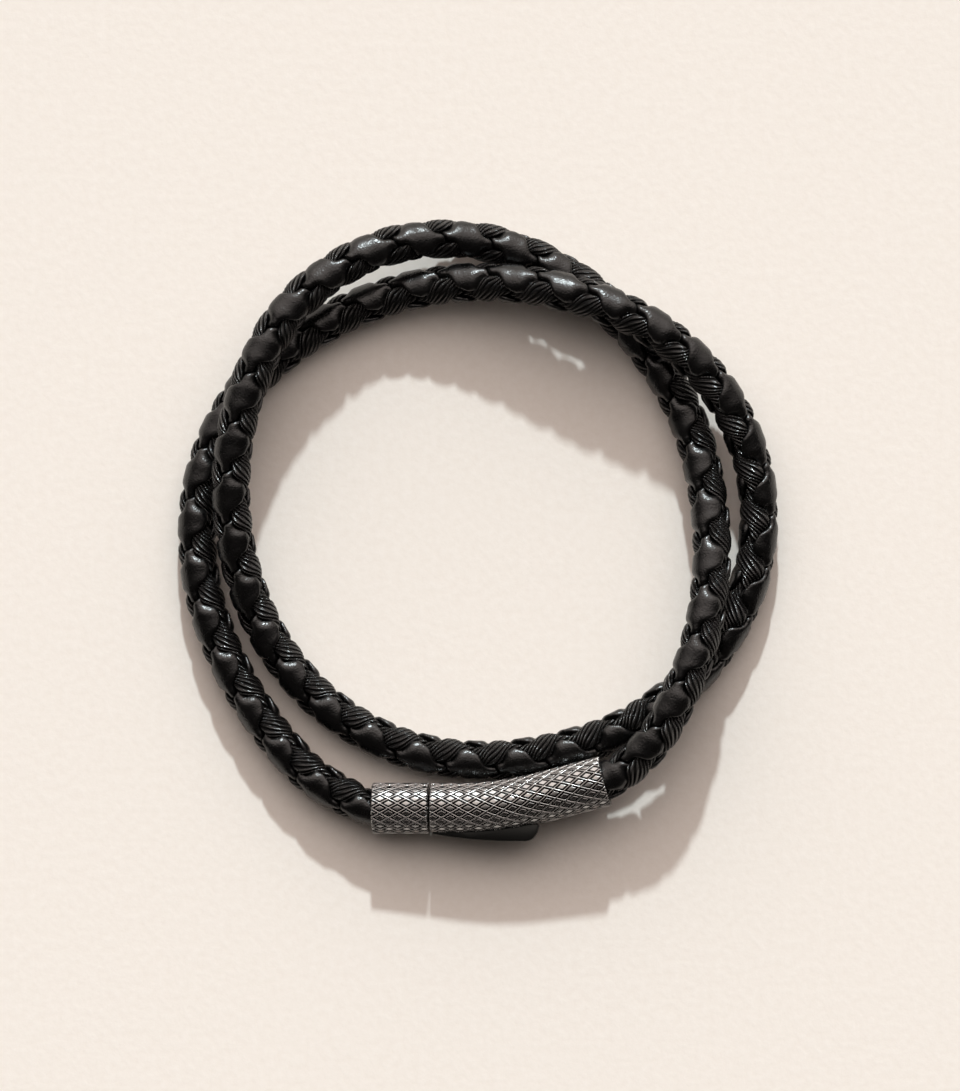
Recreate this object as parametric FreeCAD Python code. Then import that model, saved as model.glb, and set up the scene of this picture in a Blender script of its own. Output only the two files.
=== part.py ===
import FreeCAD, Part
import math
import os
from collections import namedtuple

# A double-wrap bracelet: one four-strand round braid goes twice round the wrist,
# and both of its ends are held in a knurled bayonet clasp with a press lever.
# It lies on a table as it would by itself: z = 0 is the table, the wrist goes through
# along Z, and the origin is the middle of the bracelet's outline on the table.
# Lengths are millimetres and angles degrees.

Vec = FreeCAD.Vector

# Braided cord
CORD_RADIUS = 2.55            # over the crowns of the strands
BRAID_PITCH = 12.96           # length in which a strand goes once round the cord
BRAID_START = 4.5             # length from the cord's end to the first strand's first crown
RINGS_PER_PITCH = 12          # facet rings of a strand in one pitch
BRAID_DWELL = 0.45            # how much a strand lingers where it passes over, 0 to 1
STRAND_GAP = 0.30             # share of a strand's half width left free at a neighbour
STRAND_FULLNESS = 2.3         # exponent of a strand's oval section, 2 is an ellipse
SECTION_CORNERS = (0, 72, 140, 220, 288)   # facet corners seen from a strand's middle

STRAND_NAMES = ("leather_strand_1", "leather_strand_2", "ribbed_strand_1", "ribbed_strand_2")

# A strand's section where it passes over, half way down the side, and under
Section = namedtuple("Section", "centre half_thickness half_width")
SECTION_OVER = Section(centre=1.75, half_thickness=0.80, half_width=1.80)
SECTION_SIDE = Section(centre=1.34, half_thickness=1.16, half_width=1.25)
SECTION_UNDER = Section(centre=0.63, half_thickness=0.62, half_width=1.50)

# Clasp: a collar with a tongue, a bent barrel that takes the tongue, and a press lever
CLASP_RADIUS = 3.30
CLASP_LEFT_X = -13.72         # middle of the collar's open face, seen from above
CLASP_LEFT_Y = -36.10
CLASP_PITCH = 4.2             # the barrel's end rides up on the cord that it lies beside
EDGE_CHAMFER = 0.18
COLLAR_LENGTH = 7.35
COLLAR_BORE_RADIUS = 2.42
COLLAR_BORE_DEPTH = 4.2
COLLAR_SQUEEZE = 0.90         # the cord is drawn in to fit the collar
SQUEEZE_RUN = 4.0             # length of cord over which it comes back to full size
SEAM_GAP = 0.25
TONGUE_RADIUS = 1.70
TONGUE_LENGTH = 3.20
TONGUE_NECK_RADIUS = 1.00
TONGUE_NECK_START = 0.65
TONGUE_NECK_LENGTH = 1.70
TONGUE_BORE_RADIUS = 1.85
TONGUE_BORE_DEPTH = 3.40

# The barrel's middle line: a straight lead, an even bend, and a straight tail
BARREL_LEAD = 3.4
BARREL_BEND_RADIUS = 44.0
BARREL_BEND_ANGLE = 14.5
BARREL_TAIL = 8.6
BARREL_BORE_RADIUS = 2.72
BARREL_BORE_DEPTH = 5.2
CORD_END_CLEARANCE = 0.3      # between the cord's cut end and the floor of its bore
CUT_OVERRUN = 1.0             # how far a bore or slot is cut past the face that it opens in

# Lever, in the clasp's frame: x runs from the collar's open face along the clasp,
# y towards the inside of the bracelet, z up
LEVER_WIDTH = 1.70
SLOT_WIDTH = 2.00
SLOT_FLOOR_Y = -0.10
SLOT_END_X = 22.20
LEVER_PIN_X = 11.90
LEVER_PIN_Y = -1.90
LEVER_PIN_RADIUS = 0.45
LEVER_PIN_CLEARANCE = 0.05
LEVER_PIN_LENGTH = 4.40
LEVER_START_X = 7.85
LEVER_END_X = 21.75
LEVER_OUTER_START_Y = -3.34
LEVER_OUTER_MIDDLE = (13.98, -4.13)
LEVER_OUTER_END = (19.60, -4.28)
LEVER_CORNER_MIDDLE = (20.95, -3.92)
LEVER_CORNER_END = (21.55, -3.05)
LEVER_TIP_Y = -2.25
LEVER_TIP_BEVEL = 0.3
LEVER_INNER_Y = -2.00
LEVER_BOSS_RADIUS = 0.95
LEVER_NOSE_X = (8.35, 9.25)
LEVER_NOSE_Y = -1.35

# The cord's route, from the collar clockwise twice round to the barrel, seen from above.
# wrap: angle travelled since the direction of the collar's open face; radius: from the
# middle of the bracelet; height: of the cord's middle over the table; lean: how far the
# row of plain leather crowns is turned from straight up towards the outside.
START_DIRECTION = 249.1
Station = namedtuple("Station", "wrap radius height lean")
ROUTE = (
    Station(wrap=5, radius=38.60, height=2.95, lean=55),
    Station(wrap=12, radius=38.55, height=2.70, lean=55),
    Station(wrap=19, radius=38.00, height=2.62, lean=55),
    Station(wrap=28, radius=37.25, height=2.62, lean=52),
    Station(wrap=40, radius=36.70, height=2.62, lean=48),
    Station(wrap=60, radius=36.55, height=2.62, lean=48),
    Station(wrap=80, radius=36.35, height=2.62, lean=48),
    Station(wrap=100, radius=35.40, height=2.62, lean=45),
    Station(wrap=120, radius=33.66, height=2.62, lean=40),
    Station(wrap=140, radius=32.50, height=3.00, lean=28),
    Station(wrap=160, radius=32.30, height=5.20, lean=25),
    Station(wrap=180, radius=33.05, height=7.50, lean=28),
    Station(wrap=200, radius=34.80, height=7.80, lean=32),
    Station(wrap=220, radius=36.30, height=5.70, lean=42),
    Station(wrap=240, radius=36.70, height=3.40, lean=58),
    Station(wrap=260, radius=35.90, height=2.65, lean=65),
    Station(wrap=280, radius=34.10, height=2.62, lean=60),
    Station(wrap=300, radius=32.20, height=2.62, lean=52),
    Station(wrap=320, radius=30.42, height=2.62, lean=48),
    Station(wrap=340, radius=29.85, height=2.62, lean=45),
    Station(wrap=360, radius=29.85, height=2.62, lean=45),
    Station(wrap=380, radius=30.05, height=2.62, lean=42),
    Station(wrap=400, radius=30.40, height=2.90, lean=35),
    Station(wrap=420, radius=31.15, height=4.50, lean=26),
    Station(wrap=440, radius=32.70, height=6.70, lean=22),
    Station(wrap=460, radius=35.10, height=7.95, lean=16),
    Station(wrap=480, radius=37.85, height=7.50, lean=14),
    Station(wrap=500, radius=38.75, height=6.00, lean=12),
    Station(wrap=520, radius=37.50, height=3.50, lean=4),
    Station(wrap=540, radius=34.90, height=2.62, lean=-12),
    Station(wrap=560, radius=32.40, height=2.62, lean=-25),
    Station(wrap=580, radius=30.90, height=2.75, lean=-30),
    Station(wrap=600, radius=30.20, height=4.10, lean=-30),
    Station(wrap=620, radius=30.85, height=6.40, lean=-28),
    Station(wrap=640, radius=32.75, height=7.95, lean=-26),
    Station(wrap=650, radius=34.10, height=8.00, lean=-26),
    Station(wrap=658, radius=35.45, height=7.30, lean=-26),
    Station(wrap=664, radius=36.10, height=6.55, lean=-26),
    Station(wrap=668.5, radius=36.50, height=5.90, lean=-26),
)
STEPS_PER_SPAN = 24           # points traced between two stations
HALVINGS = 24                 # steps of the search for a section's rim
MESH_TOLERANCE = 0.0001


def clasp_placement():
    """Where the clasp's frame lies: its collar's lower edge rests on the table."""
    height = CLASP_RADIUS * math.cos(math.radians(CLASP_PITCH))
    turn = FreeCAD.Rotation(Vec(0, 1, 0), -CLASP_PITCH)
    return FreeCAD.Placement(Vec(CLASP_LEFT_X, CLASP_LEFT_Y, height), turn)


def barrel_path():
    """The barrel's middle line in the clasp's frame: its wire, end point and end heading."""
    turn = math.radians(BARREL_BEND_ANGLE)
    start = Vec(COLLAR_LENGTH + SEAM_GAP, 0, 0)
    bend_start = start + Vec(BARREL_LEAD, 0, 0)
    bend_centre = bend_start + Vec(0, BARREL_BEND_RADIUS, 0)

    def on_bend(angle):
        return bend_centre + Vec(math.sin(angle), -math.cos(angle), 0) * BARREL_BEND_RADIUS

    bend_end = on_bend(turn)
    heading = Vec(math.cos(turn), math.sin(turn), 0)
    end = bend_end + heading * BARREL_TAIL
    lead = Part.LineSegment(start, bend_start).toShape()
    bend = Part.Arc(bend_start, on_bend(turn / 2), bend_end).toShape()
    tail = Part.LineSegment(bend_end, end).toShape()
    return Part.Wire([lead, bend, tail]), end, heading


def station_point(station):
    """The station's place on the cord's middle line."""
    direction = math.radians(START_DIRECTION - station.wrap)
    return Vec(math.cos(direction), math.sin(direction), 0) * station.radius + Vec(0, 0, station.height)


def route_stations():
    """Points and leans of the whole route, with the cord's ends inside the clasp."""
    placement = clasp_placement()
    _, barrel_end, barrel_heading = barrel_path()
    collar_inner = placement.multVec(Vec(COLLAR_BORE_DEPTH - CORD_END_CLEARANCE, 0, 0))
    collar_mouth = placement.multVec(Vec(0, 0, 0))
    barrel_mouth = placement.multVec(barrel_end)
    barrel_depth = BARREL_BORE_DEPTH - CORD_END_CLEARANCE
    barrel_inner = placement.multVec(barrel_end - barrel_heading * barrel_depth)
    points = [collar_inner, collar_mouth]
    points += [station_point(station) for station in ROUTE]
    points += [barrel_mouth, barrel_inner]
    first_lean = ROUTE[0].lean
    last_lean = ROUTE[-1].lean
    leans = [first_lean, first_lean] + [station.lean for station in ROUTE] + [last_lean, last_lean]
    return points, leans


def slopes(values, knots):
    """Slope at each knot of the smooth line through the values (numbers or vectors)."""
    found = []
    for i in range(1, len(values) - 1):
        before = knots[i] - knots[i - 1]
        after = knots[i + 1] - knots[i]
        rise_before = (values[i] - values[i - 1]) * (after / before)
        rise_after = (values[i + 1] - values[i]) * (before / after)
        found.append((rise_before + rise_after) * (1 / (before + after)))
    first = (values[1] - values[0]) * (1 / (knots[1] - knots[0]))
    last = (values[-1] - values[-2]) * (1 / (knots[-1] - knots[-2]))
    return [first] + found + [last]


def between(values, tangents, knots, i, share):
    """Value at a share of the way from knot i to the next, on a cubic through both."""
    span = knots[i + 1] - knots[i]
    square = share * share
    cube = square * share
    start = values[i] * (2 * cube - 3 * square + 1) + tangents[i] * (span * (cube - 2 * square + share))
    end = values[i + 1] * (3 * square - 2 * cube) + tangents[i + 1] * (span * (cube - square))
    return start + end


def trace_route():
    """Points and leans close together along the cord, with the length travelled at each."""
    points, leans = route_stations()
    knots = [0.0]
    for a, b in zip(points, points[1:]):
        knots.append(knots[-1] + (b - a).Length)
    point_slopes = slopes(points, knots)
    lean_slopes = slopes(leans, knots)
    line = []
    turns = []
    for i in range(len(points) - 1):
        for step in range(STEPS_PER_SPAN):
            share = step / STEPS_PER_SPAN
            line.append(between(points, point_slopes, knots, i, share))
            turns.append(between(leans, lean_slopes, knots, i, share))
    line.append(points[-1])
    turns.append(leans[-1])
    travelled = [0.0]
    for a, b in zip(line, line[1:]):
        travelled.append(travelled[-1] + (b - a).Length)
    return line, turns, travelled


def cord_frames(line, turns, travelled, places):
    """Frames across the cord at the given lengths: middle, crown direction, side direction.

    The crown direction points at the row of leather crowns, and the side direction is
    a quarter turn further round the way of travel."""
    up = Vec(0, 0, 1)
    frames = []
    i = 0
    for place in places:
        while i < len(travelled) - 2 and travelled[i + 1] < place:
            i += 1
        share = (place - travelled[i]) / (travelled[i + 1] - travelled[i])
        middle = line[i] + (line[i + 1] - line[i]) * share
        lean = math.radians(turns[i] + (turns[i + 1] - turns[i]) * share)
        before = line[max(i - 1, 0)]
        after = line[min(i + 2, len(line) - 1)]
        heading = (after - before).normalize()
        outward = up.cross(heading).normalize()
        upright = heading.cross(outward)
        crown = upright * math.cos(lean) + outward * math.sin(lean)
        frames.append((middle, crown, heading.cross(crown)))
    return frames


def section_at(phase):
    """Section of a strand at its phase: 0 is over, 90 degrees under, and so on round."""
    twice = math.cos(2 * phase)
    four = math.cos(4 * phase)
    sizes = []
    for over, side, under in zip(SECTION_OVER, SECTION_SIDE, SECTION_UNDER):
        level = (over + under) / 2
        sizes.append((level + side) / 2 + (over - under) / 2 * twice + (level - side) / 2 * four)
    return Section(*sizes)


def strand_places(phase):
    """Angle round the cord and section of the four strands where the first has this phase.

    The first two strands are the plain ones and go round one way, the ribbed two the other."""
    found = []
    for ribbed in (False, True):
        for half_turn in (0, math.pi):
            own = phase + half_turn + (math.pi / 2 if ribbed else 0)
            travelled = own - BRAID_DWELL / 2 * math.sin(2 * own)
            angle = math.pi / 2 - travelled if ribbed else travelled
            found.append((angle, section_at(own)))
    return found


def reach(point, place):
    """How far a point is from a strand's middle, where 1 is the rim of its oval."""
    angle, section = place
    along = point[0] * math.cos(angle) + point[1] * math.sin(angle) - section.centre
    across = point[1] * math.cos(angle) - point[0] * math.sin(angle)
    thick = abs(along / section.half_thickness) ** STRAND_FULLNESS
    wide = abs(across / section.half_width) ** STRAND_FULLNESS
    return (thick + wide) ** (1 / STRAND_FULLNESS)


def inside_strand(point, index, places):
    """Whether a point of the section belongs to a strand, pressed by its neighbours."""
    own = reach(point, places[index])
    if own > 1 or math.hypot(*point) > CORD_RADIUS:
        return False
    others = [reach(point, place) for i, place in enumerate(places) if i != index]
    return own + STRAND_GAP < min(others)


def strand_outline(index, phase):
    """Corners of one strand's section, in millimetres across the cord."""
    places = strand_places(phase)
    angle, section = places[index]
    middle = (section.centre * math.cos(angle), section.centre * math.sin(angle))
    corners = []
    for corner in SECTION_CORNERS:
        turn = angle + math.radians(corner)
        near = 0.0
        far = 2 * CORD_RADIUS
        for _ in range(HALVINGS):
            half = (near + far) / 2
            point = (middle[0] + half * math.cos(turn), middle[1] + half * math.sin(turn))
            if inside_strand(point, index, places):
                near = half
            else:
                far = half
        corners.append((middle[0] + near * math.cos(turn), middle[1] + near * math.sin(turn)))
    return corners


def squeeze_at(place):
    """How much the cord is drawn in near the collar."""
    mouth = COLLAR_BORE_DEPTH - CORD_END_CLEARANCE
    share = min(max((place - mouth) / SQUEEZE_RUN, 0), 1)
    return COLLAR_SQUEEZE + (1 - COLLAR_SQUEEZE) * share * share * (3 - 2 * share)


def closed_solid(rings):
    """A solid of triangles through rings of corners, closed by a fan at each end.

    Each four-cornered patch between two rings is split along its shorter diagonal."""
    count = len(rings[0])
    corners = [corner for ring in rings for corner in ring]
    faces = []
    for i in range(len(rings) - 1):
        for j in range(count):
            a = i * count + j
            b = i * count + (j + 1) % count
            c = b + count
            d = a + count
            if (corners[c] - corners[a]).Length < (corners[d] - corners[b]).Length:
                faces += [(a, b, c), (a, c, d)]
            else:
                faces += [(a, b, d), (b, c, d)]
    last = (len(rings) - 1) * count
    for j in range(1, count - 1):
        faces.append((0, j + 1, j))
        faces.append((last, last + j, last + j + 1))
    shell = Part.Shape()
    shell.makeShapeFromMesh((corners, faces), MESH_TOLERANCE)
    solid = Part.makeSolid(shell)
    if solid.Volume < 0:
        solid.reverse()
    return solid


def make_strand(index):
    """One strand of the braid along the whole route, cut in two turns that meet face to face."""
    line, turns, travelled = trace_route()
    steps = round(travelled[-1] / BRAID_PITCH * RINGS_PER_PITCH)
    places = [travelled[-1] * i / steps for i in range(steps + 1)]
    phases = [2 * math.pi * (place - BRAID_START) / BRAID_PITCH for place in places]
    rings = []
    for place, phase, frame in zip(places, phases, cord_frames(line, turns, travelled, places)):
        middle, crown, side = frame
        squeeze = squeeze_at(place)
        outline = strand_outline(index, phase)
        rings.append([middle + (crown * u + side * v) * squeeze for u, v in outline])
    half = len(rings) // 2
    return closed_solid(rings[:half + 1]), closed_solid(rings[half:])


def rod(radius, start, end):
    """A round rod between two points."""
    axis = end - start
    return Part.makeCylinder(radius, axis.Length, start, axis)


def tube_along(path, radius):
    """A round bar along a flat path that starts in the x direction."""
    start = path.Vertexes[0].Point
    circle = Part.Wire(Part.makeCircle(radius, start, Vec(1, 0, 0)))
    return path.makePipeShell([circle], True, False)


def broken_edge(solid, centre):
    """Breaks the sharp outer edge of a clasp part round the given end point of its axis."""
    edges = []
    for edge in solid.Edges:
        curve = edge.Curve
        is_rim = isinstance(curve, Part.Circle) and abs(curve.Radius - CLASP_RADIUS) < EDGE_CHAMFER / 2
        if is_rim and (curve.Center - centre).Length < EDGE_CHAMFER:
            edges.append(edge)
    return solid.makeChamfer(EDGE_CHAMFER, edges)


def make_collar():
    """The short part of the clasp: a cup for the cord with the locking tongue behind it."""
    seam = Vec(COLLAR_LENGTH, 0, 0)
    along = Vec(1, 0, 0)
    body = rod(CLASP_RADIUS, Vec(0, 0, 0), seam)
    body = broken_edge(body, Vec(0, 0, 0))
    body = body.cut(rod(COLLAR_BORE_RADIUS, Vec(-CUT_OVERRUN, 0, 0), Vec(COLLAR_BORE_DEPTH, 0, 0)))
    neck_start = seam + along * TONGUE_NECK_START
    neck_end = neck_start + along * TONGUE_NECK_LENGTH
    tongue_end = seam + along * TONGUE_LENGTH
    tongue = rod(TONGUE_RADIUS, seam, neck_start)
    tongue = tongue.fuse([rod(TONGUE_NECK_RADIUS, neck_start, neck_end),
                          rod(TONGUE_RADIUS, neck_end, tongue_end)])
    return body.fuse(tongue).removeSplitter()


def make_barrel():
    """The long bent part of the clasp, with its slot for the lever and a bore at each end."""
    path, end, heading = barrel_path()
    seam = Vec(COLLAR_LENGTH + SEAM_GAP, 0, 0)
    body = tube_along(path, CLASP_RADIUS)
    body = broken_edge(body, end)
    cord_bore = rod(BARREL_BORE_RADIUS, end + heading * CUT_OVERRUN, end - heading * BARREL_BORE_DEPTH)
    tongue_bore = rod(TONGUE_BORE_RADIUS, seam - Vec(CUT_OVERRUN, 0, 0), seam + Vec(TONGUE_BORE_DEPTH, 0, 0))
    slot_start = seam.x - CUT_OVERRUN
    slot_outer = -CLASP_RADIUS - CUT_OVERRUN
    slot = Part.makeBox(SLOT_END_X - slot_start, SLOT_FLOOR_Y - slot_outer, SLOT_WIDTH,
                        Vec(slot_start, slot_outer, -SLOT_WIDTH / 2))
    pin_hole = lever_pin_rod(LEVER_PIN_CLEARANCE)
    return body.cut([cord_bore, tongue_bore, slot, pin_hole]).removeSplitter()


def lever_pin_rod(clearance):
    """The lever's cross pin, or with a clearance the hole for it."""
    half = Vec(0, 0, LEVER_PIN_LENGTH / 2 + clearance)
    middle = Vec(LEVER_PIN_X, LEVER_PIN_Y, 0)
    return rod(LEVER_PIN_RADIUS + clearance, middle - half, middle + half)


def make_lever():
    """The press lever: a flat tab with its pivot boss and the nose that locks the tongue."""
    low = -LEVER_WIDTH / 2

    def at(x, y):
        return Vec(x, y, low)

    start = at(LEVER_START_X, LEVER_OUTER_START_Y)
    outer_end = at(*LEVER_OUTER_END)
    corner_end = at(*LEVER_CORNER_END)
    tip = at(LEVER_END_X, LEVER_TIP_Y)
    inner_end = at(LEVER_END_X - LEVER_TIP_BEVEL, LEVER_INNER_Y)
    inner_start = at(LEVER_START_X, LEVER_INNER_Y)
    edges = [
        Part.Arc(start, at(*LEVER_OUTER_MIDDLE), outer_end).toShape(),
        Part.Arc(outer_end, at(*LEVER_CORNER_MIDDLE), corner_end).toShape(),
        Part.LineSegment(corner_end, tip).toShape(),
        Part.LineSegment(tip, inner_end).toShape(),
        Part.LineSegment(inner_end, inner_start).toShape(),
        Part.LineSegment(inner_start, start).toShape(),
    ]
    tab = Part.Face(Part.Wire(edges)).extrude(Vec(0, 0, LEVER_WIDTH))
    boss = Part.makeCylinder(LEVER_BOSS_RADIUS, LEVER_WIDTH, at(LEVER_PIN_X, LEVER_PIN_Y))
    nose_root_y = LEVER_INNER_Y - LEVER_BOSS_RADIUS / 2
    nose = Part.makeBox(LEVER_NOSE_X[1] - LEVER_NOSE_X[0], LEVER_NOSE_Y - nose_root_y, LEVER_WIDTH,
                        at(LEVER_NOSE_X[0], nose_root_y))
    lever = tab.fuse([boss, nose])
    return lever.cut(lever_pin_rod(LEVER_PIN_CLEARANCE)).removeSplitter()


def place_clasp(solid):
    """Moves a clasp part from the clasp's frame to where the clasp lies."""
    placed = solid.copy()
    placed.Placement = clasp_placement().multiply(placed.Placement)
    return placed


def make_parts():
    """All the pieces by name."""
    parts = {}
    for index, strand in enumerate(STRAND_NAMES):
        first_turn, second_turn = make_strand(index)
        parts[strand + "_first_turn"] = first_turn
        parts[strand + "_second_turn"] = second_turn
    parts["clasp_collar"] = place_clasp(make_collar())
    parts["clasp_barrel"] = place_clasp(make_barrel())
    parts["clasp_lever"] = place_clasp(make_lever())
    parts["lever_pin"] = place_clasp(lever_pin_rod(0))
    return parts


def main():
    os.makedirs("parts", exist_ok=True)
    for name, solid in make_parts().items():
        solid.exportStep(os.path.join("parts", name + ".step"))
        print(name, "valid", solid.isValid(), "volume", round(solid.Volume, 2))


main()
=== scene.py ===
"""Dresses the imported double-wrap bracelet and lays it on a pale table, as in the photograph.

The braid is four strands, two of plain nappa leather and two of ribbed textile, which cross
each other along one cord. The clasp is a knurled collar and a knurled bent barrel with a
smooth press lever. Sizes are in millimetres until a mesh is finished, and then in metres.
"""

from __future__ import annotations

import logging
import math
from collections.abc import Iterable, Sequence
from dataclasses import astuple, dataclass
from enum import Enum
from typing import Any

import bmesh
import bpy
import numpy as np
from mathutils import Matrix, Vector

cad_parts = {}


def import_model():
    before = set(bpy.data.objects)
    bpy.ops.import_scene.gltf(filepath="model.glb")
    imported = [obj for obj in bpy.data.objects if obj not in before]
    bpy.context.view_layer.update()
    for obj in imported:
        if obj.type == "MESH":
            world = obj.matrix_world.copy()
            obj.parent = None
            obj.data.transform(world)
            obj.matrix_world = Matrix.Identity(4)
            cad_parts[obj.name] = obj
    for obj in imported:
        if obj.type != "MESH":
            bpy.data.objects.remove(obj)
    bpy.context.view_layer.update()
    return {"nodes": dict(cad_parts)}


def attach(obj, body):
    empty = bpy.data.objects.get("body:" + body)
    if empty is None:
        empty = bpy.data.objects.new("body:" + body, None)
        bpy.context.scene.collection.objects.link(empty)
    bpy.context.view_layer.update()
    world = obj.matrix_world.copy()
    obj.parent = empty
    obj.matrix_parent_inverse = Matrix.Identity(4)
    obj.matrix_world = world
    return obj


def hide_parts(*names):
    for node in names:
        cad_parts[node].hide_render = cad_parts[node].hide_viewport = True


# Short names of two types
Pair = tuple[float, float]
Socket = bpy.types.NodeSocket

log = logging.getLogger("bracelet")

MM = 0.001  # metres
MAIN_BODY = "bracelet"
LEVER_BODY = "lever"
WELD_DISTANCE = 1e-4  # millimetres
SAME_PLACE = 1e-3  # millimetres
# The relief also sets the painted shade in the grooves of the gunmetal.
RELIEF = "relief"  # vertex attribute with the height of the knurl, 0 to 1
LAY = "lay"  # UV map that runs round a strand and along it


class Slot(Enum):
    """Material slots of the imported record."""

    LEATHER = "nappa_leather"
    TEXTILE = "ribbed_textile"
    GUNMETAL = "gunmetal_steel"
    LEVER = "satin_dark_steel"


class StrandKind(Enum):
    """The two kinds of strand in the braid, by the start of their nodes' names."""

    LEATHER = "leather_strand"
    RIBBED = "ribbed_strand"


# Route of the cord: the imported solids' stations, with the crowns turned as in the photograph


@dataclass(frozen=True)
class Station:
    """A point that the cord's middle passes.

    wrap is the angle travelled clockwise since the collar's direction, radius is from the
    bracelet's middle, height is over the table, and lean turns the row of leather crowns from
    straight up towards the outside.
    """

    wrap: float
    radius: float
    height: float
    lean: float


ROUTE = (
    Station(wrap=5, radius=38.60, height=2.95, lean=48),
    Station(wrap=12, radius=38.55, height=2.70, lean=48),
    Station(wrap=19, radius=38.00, height=2.62, lean=48),
    Station(wrap=28, radius=37.25, height=2.62, lean=45),
    Station(wrap=40, radius=36.70, height=2.62, lean=41),
    Station(wrap=60, radius=36.55, height=2.62, lean=41),
    Station(wrap=80, radius=36.35, height=2.62, lean=41),
    Station(wrap=100, radius=35.40, height=2.62, lean=38),
    Station(wrap=120, radius=33.66, height=2.62, lean=39),
    Station(wrap=140, radius=32.50, height=3.00, lean=46),
    Station(wrap=160, radius=32.30, height=5.20, lean=46),
    Station(wrap=180, radius=33.05, height=7.50, lean=42),
    Station(wrap=200, radius=34.80, height=7.80, lean=38),
    Station(wrap=220, radius=36.30, height=5.70, lean=42),
    Station(wrap=240, radius=36.70, height=3.40, lean=58),
    Station(wrap=260, radius=35.90, height=2.65, lean=65),
    Station(wrap=280, radius=34.10, height=2.62, lean=55),
    Station(wrap=300, radius=32.20, height=2.62, lean=47),
    Station(wrap=320, radius=30.42, height=2.62, lean=43),
    Station(wrap=340, radius=29.85, height=2.62, lean=40),
    Station(wrap=360, radius=29.85, height=2.62, lean=40),
    Station(wrap=380, radius=30.05, height=2.62, lean=37),
    Station(wrap=400, radius=30.40, height=2.90, lean=30),
    Station(wrap=420, radius=31.15, height=4.50, lean=26),
    Station(wrap=440, radius=32.70, height=6.70, lean=22),
    Station(wrap=460, radius=35.10, height=7.95, lean=16),
    Station(wrap=480, radius=37.85, height=7.50, lean=14),
    Station(wrap=500, radius=38.75, height=6.00, lean=12),
    Station(wrap=520, radius=37.50, height=3.50, lean=4),
    Station(wrap=540, radius=34.90, height=2.62, lean=-12),
    Station(wrap=560, radius=32.40, height=2.62, lean=-25),
    Station(wrap=580, radius=30.90, height=2.75, lean=-30),
    Station(wrap=600, radius=30.20, height=4.10, lean=-30),
    Station(wrap=620, radius=30.85, height=6.40, lean=-28),
    Station(wrap=640, radius=32.75, height=7.95, lean=-26),
    Station(wrap=650, radius=34.10, height=8.00, lean=-26),
    Station(wrap=658, radius=35.45, height=7.30, lean=-26),
    Station(wrap=664, radius=36.10, height=6.55, lean=-26),
    Station(wrap=668.5, radius=36.50, height=5.90, lean=-26),
)


@dataclass(frozen=True)
class ClaspFrame:
    """Where the clasp lies and the line that its two halves follow.

    In the clasp's own frame x runs from the collar's open face along the clasp, y towards the
    inside of the bracelet, and z up.
    """

    left_x: float = -13.72
    left_y: float = -36.10
    pitch: float = 4.2
    radius: float = 3.30
    collar_length: float = 7.35
    seam_gap: float = 0.25
    barrel_lead: float = 3.4
    bend_radius: float = 44.0
    bend_angle: float = 14.5
    barrel_tail: float = 8.6
    collar_bore_depth: float = 4.2
    barrel_bore_depth: float = 5.2
    cord_end_clearance: float = 0.3

    @property
    def barrel_start(self) -> float:
        """Place along the clasp where the barrel begins."""
        return self.collar_length + self.seam_gap

    @property
    def barrel_length(self) -> float:
        """Length of the barrel along its middle line."""
        return self.barrel_lead + self.bend_radius * math.radians(self.bend_angle) + self.barrel_tail

    def placement(self) -> Matrix:
        """Where the clasp lies.

        Returns:
            Matrix from the clasp's frame to the bracelet's, both in millimetres.
        """
        height = self.radius * math.cos(math.radians(self.pitch))
        turn = Matrix.Rotation(-math.radians(self.pitch), 4, "Y")
        return Matrix.Translation((self.left_x, self.left_y, height)) @ turn

    def bend(self, points: np.ndarray) -> np.ndarray:
        """Bends straight points so that they follow the clasp's middle line.

        Args:
            points: Points in the clasp's frame as if the barrel were straight.

        Returns:
            The points where the bent barrel has them.
        """
        bend_start = self.barrel_start + self.barrel_lead
        past = points[:, 0] - bend_start
        angle = np.clip(past / self.bend_radius, 0, math.radians(self.bend_angle))
        beyond = past - angle * self.bend_radius
        reach = self.bend_radius - points[:, 1]
        bent = points.copy()
        bent[:, 0] = bend_start + reach * np.sin(angle) + beyond * np.cos(angle)
        bent[:, 1] = self.bend_radius - reach * np.cos(angle) + beyond * np.sin(angle)
        return bent

    def on_axis(self, place: float) -> np.ndarray:
        """Point of the clasp's bent middle line, in the bracelet's frame."""
        bent = self.bend(np.array([[place, 0.0, 0.0]]))[0]
        return np.array(self.placement() @ Vector(bent))


@dataclass(frozen=True)
class CordFrames:
    """Frames across the cord: its middle, and the crown and side directions there."""

    places: np.ndarray
    middles: np.ndarray
    crowns: np.ndarray
    sides: np.ndarray


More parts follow.
